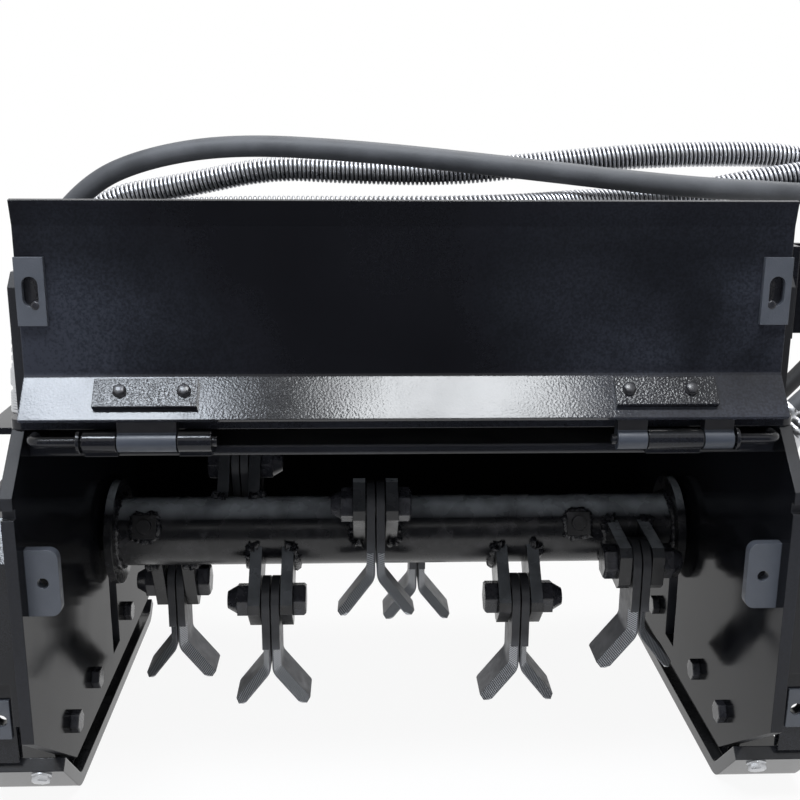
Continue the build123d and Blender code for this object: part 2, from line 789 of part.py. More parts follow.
# Hoses, each one tube along straight runs and tangent arcs
for hose in hoses:
    line_points = route_points(hose.route)
    with BuildPart() as hose_tube:
        with BuildLine():
            hose_line = FilletPolyline(*line_points, radius=route_radii(line_points))
        with BuildSketch(Plane(origin=hose_line @ 0, z_dir=hose_line % 0)):
            Circle(hose.diameter / 2)
        sweep(path=hose_line)
    section = math.pi * (hose.diameter / 2) ** 2
    print(hose.name, "length", round(hose_line.length), "radii",
          [round(r) for r in route_radii(line_points)],
          "volume ratio", round(hose_tube.part.volume / (section * hose_line.length), 4))
    hose_tube.part.label = hose.name
    export_step(hose_tube.part, "parts/" + hose.name + ".step")

# Couplings on the free ends of the hoses
with BuildPart() as hose_couplings:
    for hose in hoses:
        line_points = route_points(hose.route)
        along = (line_points[-1] - line_points[-2]).normalized()
        with BuildSketch(Plane(origin=line_points[-1], z_dir=along)):
            Circle(coupling_d / 2)
        extrude(amount=coupling_l)
hose_couplings.part.label = "hose_couplings"
export_step(hose_couplings.part, "parts/hose_couplings.step")

# Rest outside the left side plate that the couplings stand on
with BuildPart() as coupling_rest:
    with BuildSketch(Plane.XZ.offset(-back(rest_front))):
        with Locations((-half_out - rest_w / 2, rest_z - rest_t / 2)):
            Rectangle(rest_w, rest_t)
        with Locations((-half_out - rest_t / 2, rest_z - rest_leg / 2)):
            Rectangle(rest_t, rest_leg)
    extrude(amount=rest_front - rest_rear)
coupling_rest.part.label = "coupling_rest"
export_step(coupling_rest.part, "parts/coupling_rest.step")
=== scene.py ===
import math
import random
from collections import namedtuple

import bmesh
import bpy
from mathutils import Matrix, Vector, noise


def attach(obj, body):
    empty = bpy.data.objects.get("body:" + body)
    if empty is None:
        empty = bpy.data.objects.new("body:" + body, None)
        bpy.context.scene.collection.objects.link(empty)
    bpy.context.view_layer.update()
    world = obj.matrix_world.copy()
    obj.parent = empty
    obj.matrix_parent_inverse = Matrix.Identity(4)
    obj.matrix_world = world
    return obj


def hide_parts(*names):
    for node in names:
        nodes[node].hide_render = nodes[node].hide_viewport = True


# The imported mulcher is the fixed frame, and every length here is in metres
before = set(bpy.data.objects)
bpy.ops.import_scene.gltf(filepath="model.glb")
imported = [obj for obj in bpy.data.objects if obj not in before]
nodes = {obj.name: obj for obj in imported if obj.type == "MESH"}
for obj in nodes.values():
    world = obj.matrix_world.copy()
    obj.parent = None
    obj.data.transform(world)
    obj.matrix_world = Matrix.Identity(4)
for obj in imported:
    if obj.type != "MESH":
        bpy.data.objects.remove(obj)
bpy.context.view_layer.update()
scene = bpy.context.scene
scene.view_settings.view_transform = "Standard"


# Camera where the photographer stood, a little left of the middle and looking down into the mouth
camera_at = (-0.036, -1.007, 0.599)
camera_yaw, camera_pitch, camera_roll = 2.15, 14.59, 0.29
sensor_mm, lens_mm = 36, 47.88


def stand_camera():
    yaw, pitch, roll = (math.radians(angle) for angle in (camera_yaw, camera_pitch, camera_roll))
    ahead = Vector((math.sin(yaw) * math.cos(pitch), math.cos(yaw) * math.cos(pitch), -math.sin(pitch)))
    level = Vector((math.cos(yaw), -math.sin(yaw), 0))
    right = math.cos(roll) * level + math.sin(roll) * level.cross(ahead)
    lens = bpy.data.cameras.new("photographer")
    lens.sensor_width = sensor_mm
    lens.lens = lens_mm
    camera = bpy.data.objects.new("photographer", lens)
    camera.matrix_world = Matrix((right, right.cross(ahead), -ahead)).transposed().to_4x4()
    camera.location = camera_at
    scene.collection.objects.link(camera)
    scene.camera = camera


stand_camera()


# Finishes: values with plain arithmetic, and nodes made by one method
class Value:
    def __init__(self, finish, socket):
        self.finish = finish
        self.socket = socket

    def maths(self, operation, *parts):
        return self.finish.node("ShaderNodeMath", {"operation": operation}, dict(enumerate(parts)))

    def __add__(self, other):
        return self.maths("ADD", self, other)

    def __radd__(self, other):
        return self.maths("ADD", other, self)

    def __sub__(self, other):
        return self.maths("SUBTRACT", self, other)

    def __rsub__(self, other):
        return self.maths("SUBTRACT", other, self)

    def __mul__(self, other):
        return self.maths("MULTIPLY", self, other)

    def __rmul__(self, other):
        return self.maths("MULTIPLY", other, self)

    def __abs__(self):
        return self.maths("ABSOLUTE", self)

    def __gt__(self, other):
        return self.maths("GREATER_THAN", self, other)

    def __lt__(self, other):
        return self.maths("LESS_THAN", self, other)


class Finish:
    def __init__(self, name, tree=None):
        if tree is None:
            self.material = bpy.data.materials.new(name)
            self.material.use_nodes = True
            tree = self.material.node_tree
            self.shader = tree.nodes["Principled BSDF"]
        self.tree = tree

    def node(self, kind, settings=(), inputs=(), out=0):
        made = self.tree.nodes.new(kind)
        for name, value in dict(settings).items():
            if name == "stops":
                for _ in value[2:]:
                    made.color_ramp.elements.new(1.0)
                for element, (position, shade) in zip(made.color_ramp.elements, value):
                    element.position = position
                    element.color = (*shade, 1.0)
            else:
                setattr(made, name, value)
        for name, value in dict(inputs).items():
            self.feed(made.inputs[name], value)
        return Value(self, made.outputs[out])

    def feed(self, socket, value):
        if isinstance(value, Value):
            self.tree.links.new(value.socket, socket)
        else:
            socket.default_value = value

    def surface(self, **values):
        for name, value in values.items():
            self.feed(self.shader.inputs[name.replace("_", " ")], value)

    def place(self, out="Object"):
        return self.node("ShaderNodeTexCoord", out=out)

    def part(self, vector, axis):
        return self.node("ShaderNodeSeparateXYZ", (), {"Vector": vector}, out=axis)

    def grain(self, scale, detail=3.0, vector=None):
        vector = vector or self.place()
        return self.node("ShaderNodeTexNoise", (), {"Vector": vector, "Scale": scale, "Detail": detail})

    def spread(self, value, low, high, to_low, to_high):
        return self.node("ShaderNodeMapRange", (), {
            "Value": value, "From Min": low, "From Max": high, "To Min": to_low, "To Max": to_high})

    def shades(self, value, *stops):
        return self.node("ShaderNodeValToRGB", {"stops": stops}, {"Fac": value})

    def mixed(self, share, first, second):
        first, second = (c if isinstance(c, Value) else (*c, 1.0) for c in (first, second))
        return self.node("ShaderNodeMix", {"data_type": "RGBA"}, {0: share, 6: first, 7: second}, out=2)

    def eased_edges(self, radius):
        return self.node("ShaderNodeBevel", {"samples": 6}, {"Radius": radius})

    def relief(self, height, strength, depth, under=None):
        inputs = {"Height": height, "Strength": strength, "Distance": depth}
        if under:
            inputs["Normal"] = under
        return self.node("ShaderNodeBump", (), inputs)


# The flap's painted reflection is lighter towards both ends below the lip, and darkest at this x
lip_low, lip_high = 0.47, 0.505
darkest_x = -0.03


def gloss_black(name, gloss=0.3, roughness=0.12, edge=0.0013, peel=0.05, haze=0.4, side_reflection=0.0,
                dull_front=0.0):
    """Sprayed gloss black: fine orange peel, grey haze, a veil of dust on what faces up, eased edges.

    The side share paints a reflection, lighter grey towards both ends below the flap's lip; dull_front roughens
    what faces forward.
    """
    paint = Finish(name)
    from_darkest = abs(paint.part(paint.place(), 0) - darkest_x)
    facing_forward = paint.part(paint.place("Normal"), 1) < -0.35
    facing_up = paint.spread(paint.part(paint.place("Normal"), 2), 0.55, 1.0, 0.0, 1.0)
    facing_out = paint.spread(paint.part(paint.place("Normal"), 2), 0.3, 0.6, 0.0, 1.0)
    dust = facing_up * paint.spread(paint.grain(38.0, 6.0), 0.3, 0.8, 0.08, 0.42)
    specks = paint.spread(paint.grain(900.0, 1.0), 0.70, 0.76, 0.0, 1.0) * 0.25
    clouds = paint.spread(paint.grain(6.0, 5.0), 0.36, 0.68, 0.15, 1.0) * paint.spread(
        paint.grain(520.0, 2.0), 0.35, 0.65, 0.5, 1.0)
    # Painted reflection: the side share lightens the coat below the lip, more the farther it is from the
    # panel's darkest x
    below_lip = paint.spread(paint.part(paint.place(), 2), lip_low, lip_high, 1.0, 0.35)
    veil = clouds * (haze + side_reflection * below_lip * paint.spread(from_darkest, 0.06, 0.29, 0.0, 1.0))
    coat = paint.mixed(veil, (0.0042, 0.0042, 0.0052), (0.024, 0.026, 0.034))
    paint.surface(
        Base_Color=paint.mixed(dust + specks * facing_up, coat, (0.08, 0.079, 0.077)),
        Roughness=paint.spread(paint.grain(23.0, 5.0), 0.3, 0.7, roughness - 0.03, roughness + 0.05)
        + dust * 0.22 + facing_forward * dull_front,
        Specular_IOR_Level=gloss,
        Normal=paint.relief(
            paint.grain(560.0, 1.5), facing_out * peel + 0.03, 0.0009, paint.eased_edges(edge)),
    )
    return paint


def darken(paint, where):
    """Lay painted shade, a dull near-black diffuse coat, over the paint where a mask says."""
    painted_shade = paint.node("ShaderNodeBsdfDiffuse", (), {"Color": (0.0012, 0.0012, 0.0013, 1.0)}, out="BSDF")
    both = paint.node("ShaderNodeMixShader", (), {
        0: where, 1: Value(paint, paint.shader.outputs["BSDF"]), 2: painted_shade}, out="Shader")
    paint.feed(paint.tree.nodes["Material Output"].inputs["Surface"], both)


def hood_black():
    """The gloss paint outside, and painted shade, dull and near black, on the wall that looks into the chamber.
    """
    paint = gloss_black("hood_black")
    chamber_top = 0.40
    faces_mouth = paint.part(paint.place("Normal"), 1) < -0.3
    # Painted shade on the inner wall below the chamber's top
    darken(paint, faces_mouth * (paint.part(paint.place(), 2) < chamber_top))
    return paint


def plate_black():
    """Side plates: gloss outside, dull at the mouth's edges, with painted shade at half strength on the inner
    faces.
    """
    paint = gloss_black("plate_black", dull_front=0.4)
    faces_in = paint.part(paint.place(), 0) * paint.part(paint.place("Normal"), 0) < -0.1
    # Painted shade at half strength on the faces that look into the chamber
    darken(paint, faces_in * 0.5)
    return paint


def satin_grey():
    """Plain undercoat grey on the drilled and slotted tabs."""
    paint = Finish("satin_grey")
    paint.surface(
        Base_Color=paint.mixed(paint.grain(45.0, 5.0), (0.034, 0.038, 0.047), (0.058, 0.063, 0.076)),
        Roughness=paint.spread(paint.grain(160.0, 3.0), 0.3, 0.7, 0.34, 0.5),
        Specular_IOR_Level=0.5,
        Normal=paint.relief(paint.grain(620.0, 2.0), 0.12, 0.001, paint.eased_edges(0.0008)),
    )
    return paint


def chamber_black(name, low, high, gloss, roughness, pale_top_share=0.0):
    """Thin black paint over plain rolled plate and tube, with scuffs, and paler on what faces up: dust there,
    and also a painted highlight.
    """
    paint = Finish(name)
    scuffs = paint.spread(paint.grain(60.0, 8.0), 0.52, 0.72, 0.0, 1.0)
    # Paler on what faces up: partly settled dust, partly a painted highlight
    dust_and_highlight_on_top = paint.spread(paint.part(paint.place("Normal"), 2), 0.62, 0.92, 0.0, 1.0) * paint.spread(
        paint.grain(45.0, 6.0), 0.3, 0.62, 0.45, 1.0)
    paint.surface(
        Base_Color=paint.mixed(dust_and_highlight_on_top * pale_top_share, paint.mixed(scuffs, low, high), (0.21, 0.22, 0.235)),
        Roughness=paint.spread(paint.grain(31.0, 4.0), 0.3, 0.7, roughness - 0.06, roughness + 0.1),
        Specular_IOR_Level=gloss,
        Normal=paint.relief(paint.grain(210.0, 5.0), 0.12, 0.001, paint.eased_edges(0.001)),
    )
    return paint


hinge_line = (0.0, -0.217, 0.361)
knuckle_r = 0.0086


def knuckle_grey():
    """Grey undercoat on the turned knuckles alone, and painted shade, near black, on the set-back leaves that
    carry them.
    """
    paint = Finish("knuckle_grey")
    beside_pin = paint.node("ShaderNodeVectorMath", {"operation": "MULTIPLY"}, {
        0: paint.place(), 1: (0.0, 1.0, 1.0)}, out="Vector")
    from_pin = paint.node("ShaderNodeVectorMath", {"operation": "DISTANCE"}, {
        0: beside_pin, 1: hinge_line}, out="Value")
    shade = paint.mixed(paint.grain(45.0, 5.0), (0.018, 0.021, 0.029), (0.035, 0.040, 0.052))
    # Painted shade: near black on the leaves, wherever it is farther from the pin than a knuckle's radius
    paint.surface(
        Base_Color=paint.mixed(from_pin > knuckle_r, shade, (0.006, 0.006, 0.008)),
        Roughness=paint.spread(paint.grain(160.0, 3.0), 0.3, 0.7, 0.34, 0.5),
        Normal=paint.relief(paint.grain(620.0, 2.0), 0.08, 0.0008, paint.eased_edges(0.0008)),
    )
    return paint


def weld_black():
    """Painted weld metal: hard little lumps that glint."""
    paint = Finish("weld_black")
    lumps = paint.grain(330.0, 6.0)
    paint.surface(
        Base_Color=paint.shades(lumps, (0.35, (0.004, 0.004, 0.005)), (0.7, (0.02, 0.02, 0.023))),
        Roughness=paint.spread(lumps, 0.3, 0.7, 0.14, 0.34),
        Specular_IOR_Level=0.5,
        Normal=paint.relief(lumps, 0.75, 0.002),
    )
    return paint


def oxide_black():
    """Blackened bolts, with rubbed corners."""
    steel = Finish("oxide_black")
    rubbed = steel.spread(steel.grain(150.0, 6.0), 0.52, 0.75, 0.0, 1.0)
    steel.surface(
        Base_Color=steel.mixed(rubbed, (0.014, 0.014, 0.017), (0.05, 0.05, 0.057)),
        Metallic=rubbed * 0.55,
        Roughness=steel.spread(steel.grain(90.0, 4.0), 0.3, 0.7, 0.2, 0.36),
        Normal=steel.relief(steel.grain(520.0, 3.0), 0.12, 0.001, steel.eased_edges(0.0022)),
    )
    return steel


def bright_zinc(name, low, high, roughness):
    """Zinc plate: clear grey, faintly clouded."""
    steel = Finish(name)
    steel.surface(
        Base_Color=steel.mixed(steel.grain(85.0, 6.0), low, high),
        Metallic=1.0,
        Roughness=steel.spread(steel.grain(260.0, 4.0), 0.3, 0.7, roughness - 0.06, roughness + 0.1),
        Normal=steel.relief(steel.grain(700.0, 3.0), 0.1, 0.0008, steel.eased_edges(0.0006)),
    )
    return steel


def plain_rubber(name, low, high, roughness):
    """Moulded rubber, dull, with a fine grain and a chalky bloom."""
    rubber = Finish(name)
    bloom = rubber.grain(24.0, 7.0)
    rubber.surface(
        Base_Color=rubber.mixed(rubber.spread(bloom, 0.3, 0.72, 0.0, 1.0), low, high),
        Roughness=rubber.spread(bloom, 0.3, 0.7, roughness - 0.06, roughness + 0.08),
        Specular_IOR_Level=0.4,
        Normal=rubber.relief(rubber.grain(1100.0, 2.0) + rubber.grain(240.0, 3.0), 0.16, 0.0008),
    )
    return rubber


shank_starts, wing_starts = 0.03, 0.066
wing_out, wing_down = 0.614, 0.789
grinding_pitch = 0.0021


def blade_steel(lug, bolt):
    """Rolled blade steel, whose ground bevel along the front edge carries lines square to the edge.

    Lengths are measured down from the bolt: a straight shank, then a wing that bends outwards.
    """
    steel = Finish("blade_steel_" + lug.name)
    hang = math.radians(lug.hang_angle)
    turn = math.atan2(-math.cos(hang), -math.sin(hang))
    local = steel.node("ShaderNodeMapping", {"vector_type": "TEXTURE"}, {
        "Vector": steel.place(), "Location": bolt, "Rotation": (turn, 0.0, 0.0)})
    out, down = abs(steel.part(local, 0)), -1.0 * steel.part(local, 2)
    to_front = steel.node("ShaderNodeVectorMath", {"operation": "DOT_PRODUCT"}, {
        0: steel.place("Normal"), 1: (0.0, math.sin(hang), math.cos(hang))}, out="Value")
    ground = (to_front > 0.3) * (1.0 - (to_front > 0.85)) * (down > shank_starts)
    on_wing = down > wing_starts
    along = down + on_wing * (wing_out * out - (1.0 - wing_down) * down)
    wobble = steel.grain(140.0, 2.0) * 0.9
    waves = along * (2 * math.pi / grinding_pitch) + wobble
    lines = waves.maths("SINE", waves) * 0.5 + 0.5
    worn = steel.spread(steel.grain(48.0, 7.0), 0.36, 0.68, 0.0, 1.0)
    wing_shade = steel.mixed(worn, (0.095, 0.098, 0.108), (0.165, 0.168, 0.182))
    # Painted shade: near black on the shank by the eye, fading out down the blade
    shade_near_eye = steel.spread(down, shank_starts, 0.075, 0.88, 0.0)
    flat_shade = steel.mixed(shade_near_eye, wing_shade, (0.016, 0.016, 0.018))
    ground_shade = steel.mixed(lines, (0.06, 0.062, 0.068), (0.62, 0.63, 0.66))
    steel.surface(
        Base_Color=steel.mixed(ground, flat_shade, ground_shade),
        Metallic=0.45,
        Roughness=steel.spread(steel.grain(120.0, 5.0), 0.3, 0.7, 0.38, 0.54),
        Normal=steel.relief(
            steel.grain(380.0, 4.0) * 0.5 + lines * ground * 0.5, 0.3, 0.0008, steel.eased_edges(0.0007)),
    )
    return steel


Lug = namedtuple("Lug", "name x lug_angle hang_angle")
lugs = (
    Lug("flail_1", -0.2355, -114, -90),
    Lug("flail_2", -0.1275, -45, -90),
    Lug("flail_3", -0.0225, 40, -80),
    Lug("flail_4", 0.0255, -162, -90),
    Lug("flail_5", 0.1230, -45, -90),
    Lug("flail_6", 0.2370, -5, -90),
    Lug("flail_7", -0.1650, 130, -110),
)
axis_y, axis_z = 0.044, 0.185
tube_r, bolt_r = 0.0355, 0.076


def on_rotor(x, radius, angle):
    """A point round the rotor: angles rise from the level line out of the mouth."""
    a = math.radians(angle)
    return Vector((x, axis_y - radius * math.cos(a), axis_z + radius * math.sin(a)))


outside_paint = gloss_black("gloss_black")
plate_paint = plate_black()
hood_paint = hood_black()
bar_paint = gloss_black("bar_black", gloss=0.6, edge=0.0035)
# The flap's panel carries a painted reflection, lighter towards both ends
flap_paint = gloss_black(
    "flap_black", gloss=0.22, roughness=0.11, edge=0.0011, peel=0.07, haze=0.12, side_reflection=1.7)
backing_paint = gloss_black("backing_black", gloss=0.26, roughness=0.14, edge=0.0009, peel=0.4, haze=0.5)
# The liner's near-black colour is painted shade for the inside of the chamber
shaded_liner_paint = chamber_black(
    "liner_black", (0.0006, 0.0006, 0.0007), (0.0014, 0.0014, 0.0014), gloss=0.03, roughness=0.55)
# The drum's pale top is partly dust, partly a painted highlight
drum_paint = chamber_black(
    "drum_black", (0.006, 0.006, 0.007), (0.02, 0.019, 0.021), gloss=0.45, roughness=0.26, pale_top_share=1.0)
knuckle_paint = knuckle_grey()
grey_paint = satin_grey()
weld_paint = weld_black()
bolt_steel = oxide_black()
zinc = bright_zinc("bright_zinc", (0.42, 0.43, 0.45), (0.60, 0.61, 0.63), 0.3)
spring_wire = bright_zinc("spring_wire", (0.36, 0.37, 0.40), (0.58, 0.59, 0.62), 0.3)
core_rubber = plain_rubber("core_rubber", (0.008, 0.008, 0.009), (0.018, 0.018, 0.019), 0.6)
hose_rubber = plain_rubber("hose_rubber", (0.040, 0.042, 0.047), (0.085, 0.088, 0.096), 0.56)
stop_rubber = plain_rubber("stop_rubber", (0.010, 0.010, 0.010), (0.020, 0.020, 0.020), 0.7)

painted = {
    outside_paint: (
        "roof_ledge", "skid_left", "skid_right", "guard_left", "guard_right", "bearing", "motor",
        "hitch_base", "hitch_ear_left", "hitch_ear_right", "housing_knuckles", "hinge_pins",
        "hose_bracket", "coupling_rest"),
    plate_paint: ("side_plate_left", "side_plate_right"),
    bar_paint: ("front_bar",),
    flap_paint: ("flap_sheet",),
    backing_paint: ("backing_plates",),
    hood_paint: ("hood",),
    shaded_liner_paint: ("chamber_liner",),
    drum_paint: ("rotor_drum",),
    grey_paint: ("lock_tabs", "slot_tabs"),
    knuckle_paint: ("flap_knuckles",),
    bolt_steel: ("flail_bolts", "skid_bolts"),
    zinc: ("hose_elbows", "hose_couplings"),
    spring_wire: ("hose_guarded_high", "hose_guarded_low"),
    hose_rubber: ("hose_plain",),
    stop_rubber: ("flap_stops",),
}
for lug in lugs:
    painted[blade_steel(lug, on_rotor(lug.x, bolt_r, lug.lug_angle))] = (lug.name,)
for finish, names in painted.items():
    for name in names:
        nodes[name].data.materials.clear()
        nodes[name].data.materials.append(finish.material)


# Lines and pieces
def line_curve(name, points, kind="POLY", radius=0.0, radii=None, closed=False, roundness=3):
    curve = bpy.data.curves.new(name, "CURVE")
    curve.dimensions = "3D"
    spline = curve.splines.new(kind)
    spline.points.add(len(points) - 1)
    for point, place, size in zip(spline.points, points, radii or [1.0] * len(points)):
        point.co = (*place, 1.0)
        point.radius = size
    if kind == "NURBS":
        spline.order_u = 3
        spline.use_endpoint_u = True
        spline.resolution_u = 24
    spline.use_cyclic_u = closed
    curve.bevel_depth = radius
    curve.bevel_resolution = roundness
    curve.use_fill_caps = not closed
    return curve


def mesh_of(curve):
    holder = bpy.data.objects.new("holder", curve)
    mesh = bpy.data.meshes.new_from_object(holder)
    bpy.data.objects.remove(holder)
    return mesh


def show(name, mesh, finish, body, sharp=35):
    piece = bpy.data.objects.new(name, mesh)
    scene.collection.objects.link(piece)
    mesh.materials.clear()
    mesh.materials.append(finish.material)
    for face in mesh.polygons:
        face.use_smooth = True
    mesh.set_sharp_from_angle(angle=math.radians(sharp))
    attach(piece, body)
    return piece


def gather(name, meshes):
    """One mesh out of several, each a closed shape with its faces outwards."""
    whole = bmesh.new()
    for mesh in meshes:
        whole.from_mesh(mesh)
        bpy.data.meshes.remove(mesh)
    bmesh.ops.recalc_face_normals(whole, faces=whole.faces)
    mesh = bpy.data.meshes.new(name)
    whole.to_mesh(mesh)
    whole.free()
    return mesh


def facing(place, ahead, roll=0.0):
    """A place whose own Z runs ahead."""
    turn = ahead.to_track_quat("Z", "Y").to_matrix().to_4x4()
    return Matrix.Translation(place) @ turn @ Matrix.Rotation(roll, 4, "Z")


def turned(profile, place, steps=32):
    """A turned shape from (radius, height) points that close on the axis or on themselves."""
    lathe = bmesh.new()
    rim = [lathe.verts.new((radius, 0, height)) for radius, height in profile]
    edges = [lathe.edges.new(pair) for pair in zip(rim, rim[1:])]
    bmesh.ops.spin(lathe, geom=rim + edges, cent=(0, 0, 0), axis=(0, 0, 1), angle=2 * math.pi, steps=steps,
                   use_merge=True)
    bmesh.ops.remove_doubles(lathe, verts=lathe.verts, dist=1e-6)
    return placed(lathe, place)


def placed(shape, place):
    bmesh.ops.recalc_face_normals(shape, faces=shape.faces)
    bmesh.ops.transform(shape, matrix=place, verts=shape.verts)
    mesh = bpy.data.meshes.new("placed")
    shape.to_mesh(mesh)
    shape.free()
    return mesh


def hexagon(across, height, ease, place):
    """A six-sided head or nut that stands on its place, with eased top corners."""
    head = bmesh.new()
    corner_r = across / math.sqrt(3)
    bmesh.ops.create_cone(head, cap_ends=True, segments=6, radius1=corner_r, radius2=corner_r, depth=height)
    bmesh.ops.translate(head, verts=head.verts, vec=(0, 0, height / 2))
    top = [e for e in head.edges if all(v.co.z > height * 0.9 for v in e.verts)]
    bmesh.ops.bevel(head, geom=top, offset=ease, segments=2, profile=0.5, affect="EDGES", material=-1)
    return placed(head, place)


def washer(radius, hole, height, place):
    ring = ((hole, 0), (radius, 0), (radius, height * 0.7), (radius - height * 0.3, height),
            (hole, height), (hole, 0))
    return turned(ring, place)


def bolt_head(across, place, roll=0.3):
    """A hexagon head on a washer, in proportion to its width across flats."""
    stand = place @ Matrix.Translation((0, 0, 0.1 * across)) @ Matrix.Rotation(roll, 4, "Z")
    return [washer(0.62 * across, 0.3 * across, 0.12 * across, place),
            hexagon(across, 0.42 * across, 0.07 * across, stand)]


# Hoses: routes along the part's, from the elbow on the right guard to the coupling on the left.
# The plain one lies in front of both guarded ones.
Hose = namedtuple("Hose", "name core length guarded route")
hoses = (
    Hose("hose_plain", 0.019, 1.15, False, (
        (0.363, -0.014, 0.306), (0.416, -0.014, 0.359), (0.467, -0.015, 0.410), (0.467, -0.022, 0.481),
        (0.414, -0.038, 0.536), (0.330, -0.047, 0.541), (0.240, -0.050, 0.546), (0.095, -0.043, 0.562),
        (-0.040, -0.028, 0.575), (-0.150, -0.017, 0.580), (-0.228, -0.012, 0.568), (-0.283, -0.009, 0.545),
        (-0.332, -0.007, 0.490), (-0.332, -0.007, 0.388))),
    Hose("hose_guarded_high", 0.0176, 1.17, True, (
        (0.363, 0.031, 0.306), (0.475, 0.031, 0.418), (0.475, 0.031, 0.508), (0.412, 0.031, 0.571),
        (0.265, 0.032, 0.572), (0.140, 0.033, 0.562), (0.050, 0.033, 0.552), (-0.050, 0.033, 0.554),
        (-0.120, 0.033, 0.558), (-0.205, 0.034, 0.540), (-0.286, 0.035, 0.527), (-0.332, 0.035, 0.470),
        (-0.332, 0.035, 0.388))),
    Hose("hose_guarded_low", 0.0176, 1.16, True, (
        (0.363, -0.054, 0.306), (0.424, -0.054, 0.367), (0.484, -0.054, 0.427), (0.484, -0.044, 0.508),
        (0.426, -0.026, 0.563), (0.334, -0.019, 0.550), (0.250, -0.019, 0.532), (0.165, -0.031, 0.530),
        (0.088, -0.072, 0.527), (-0.030, -0.080, 0.5265), (-0.140, -0.078, 0.5265), (-0.205, -0.078, 0.524),
        (-0.266, -0.078, 0.516), (-0.327, -0.079, 0.470), (-0.332, -0.079, 0.388))),
)
guard_r, wire_r, wire_pitch, wire_turn = 0.0120, 0.0015, 0.0041, 14
guard_starts, guard_ends = 0.090, 0.100


def coil_along(line):
    """Points of a close coil round a line, at equal steps and without twist."""
    left = guard_starts
    side = Vector((0, 1, 0))
    step = wire_pitch / wire_turn
    coil = []
    total = sum((b - a).length for a, b in zip(line, line[1:])) - guard_ends
    gone = 0.0
    for a, b in zip(line, line[1:]):
        run = b - a
        ahead = run.normalized()
        side = (side - ahead * side.dot(ahead)).normalized()
        while left <= run.length and gone + left <= total:
            turn = 2 * math.pi * len(coil) / wire_turn
            spoke = math.cos(turn) * side + math.sin(turn) * ahead.cross(side)
            coil.append(a + ahead * left + spoke * (guard_r - wire_r))
            left += step
        left -= run.length
        gone += run.length
    return coil


def coupling_profile():
    """Crimped ferrule, nut and locking ring of a screw coupling, as (radius, height)."""
    sleeve_r, groove_r, nut_r, neck_r, bore_r = 0.0118, 0.0109, 0.0130, 0.0112, 0.0085
    ring = [(0.0, -0.026), (neck_r, -0.026), (sleeve_r, -0.025)]
    for groove in (-0.020, -0.013, -0.006):
        ring += [(sleeve_r, groove - 0.002), (groove_r, groove - 0.0012),
                 (groove_r, groove + 0.0012), (sleeve_r, groove + 0.002)]
    ring += [(sleeve_r, -0.001), (0.0122, 0.0), (0.0128, 0.0005), (nut_r, 0.002), (nut_r, 0.014),
             (0.0120, 0.0155), (neck_r, 0.016), (neck_r, 0.020), (0.0126, 0.0205), (nut_r, 0.0215)]
    for rib in range(6):
        rise = 0.0025 * rib
        ring += [(nut_r, 0.0225 + rise), (0.0125, 0.0233 + rise), (nut_r, 0.0241 + rise)]
    ring += [(nut_r, 0.0385), (0.0122, 0.040), (0.0108, 0.041), (0.0108, 0.0465), (0.0100, 0.048),
             (bore_r, 0.048), (bore_r, 0.038), (0.0, 0.038)]
    return ring


def ferrule_profile():
    """Crimped ferrule and swivel nut where a hose leaves its elbow."""
    nut_r, sleeve_r, groove_r = 0.0138, 0.0121, 0.0112
    ring = [(0.0, -0.006), (0.0132, -0.006), (nut_r, -0.005), (nut_r, 0.006), (0.0128, 0.008)]
    for groove in (0.013, 0.020, 0.027):
        ring += [(sleeve_r, groove - 0.003), (sleeve_r, groove - 0.0015),
                 (groove_r, groove), (sleeve_r, groove + 0.0015)]
    ring += [(sleeve_r, 0.033), (groove_r, 0.0345), (0.0, 0.0345)]
    return ring


def band_profile():
    """The crimped band that holds a spring guard's end to its hose."""
    inner_r, eased_r, outer_r = 0.0100, 0.0124, 0.0130
    return [(0.0, -0.007), (inner_r, -0.007), (eased_r, -0.0062), (outer_r, -0.005), (outer_r, 0.004),
            (eased_r, 0.0052), (inner_r, 0.006), (0.0, 0.006)]


def guard_bands(coil):
    """A band over each end of a coil."""
    bands = []
    for first, inner in ((0, 2 * wire_turn), (len(coil) - wire_turn, len(coil) - 3 * wire_turn)):
        end = sum(coil[first:first + wire_turn], Vector()) / wire_turn
        outwards = end - sum(coil[inner:inner + wire_turn], Vector()) / wire_turn
        bands.append(turned(band_profile(), facing(end, outwards)))
    return bands


elbow_foot_x, elbow_foot_z = 0.340, 0.275
elbow_nuts = []
for hose in hoses:
    route = [Vector(p) for p in hose.route]
    line = [v.co.copy() for v in mesh_of(line_curve("route", route, "NURBS")).vertices]
    tube = bpy.data.objects.new(hose.name + "_tube", line_curve(
        hose.name + "_tube", route, "NURBS", radius=hose.core / 2, roundness=6))
    tube.data.materials.append((core_rubber if hose.guarded else hose_rubber).material)
    scene.collection.objects.link(tube)
    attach(tube, "housing")
    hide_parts(hose.name)
    hose_end = facing(route[-1], route[-1] - route[-2])
    coupling = show(
        hose.name + "_coupling", turned(coupling_profile(), hose_end, steps=40), zinc, "housing")
    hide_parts("hose_couplings")
    going_along = [coupling]
    if hose.guarded:
        coil = coil_along(line)
        wire = mesh_of(line_curve("coil", coil, radius=wire_r, roundness=1))
        spring = show(hose.name + "_spring", wire, spring_wire, "housing", sharp=80)
        both_bands = gather(hose.name + "_bands", guard_bands(coil))
        bands = show(hose.name + "_bands", both_bands, zinc, "housing")
        going_along += [spring, bands]
    elbow_nuts.append(turned(ferrule_profile(), facing(route[0], route[1] - route[0]), steps=36))
    elbow_foot = facing(Vector((elbow_foot_x, route[0].y, elbow_foot_z)), Vector((0, 0, 1)))
    elbow_nuts.append(hexagon(0.030, 0.010, 0.0014, elbow_foot))
show("hose_ferrules", gather("hose_ferrules", elbow_nuts), zinc, "housing")


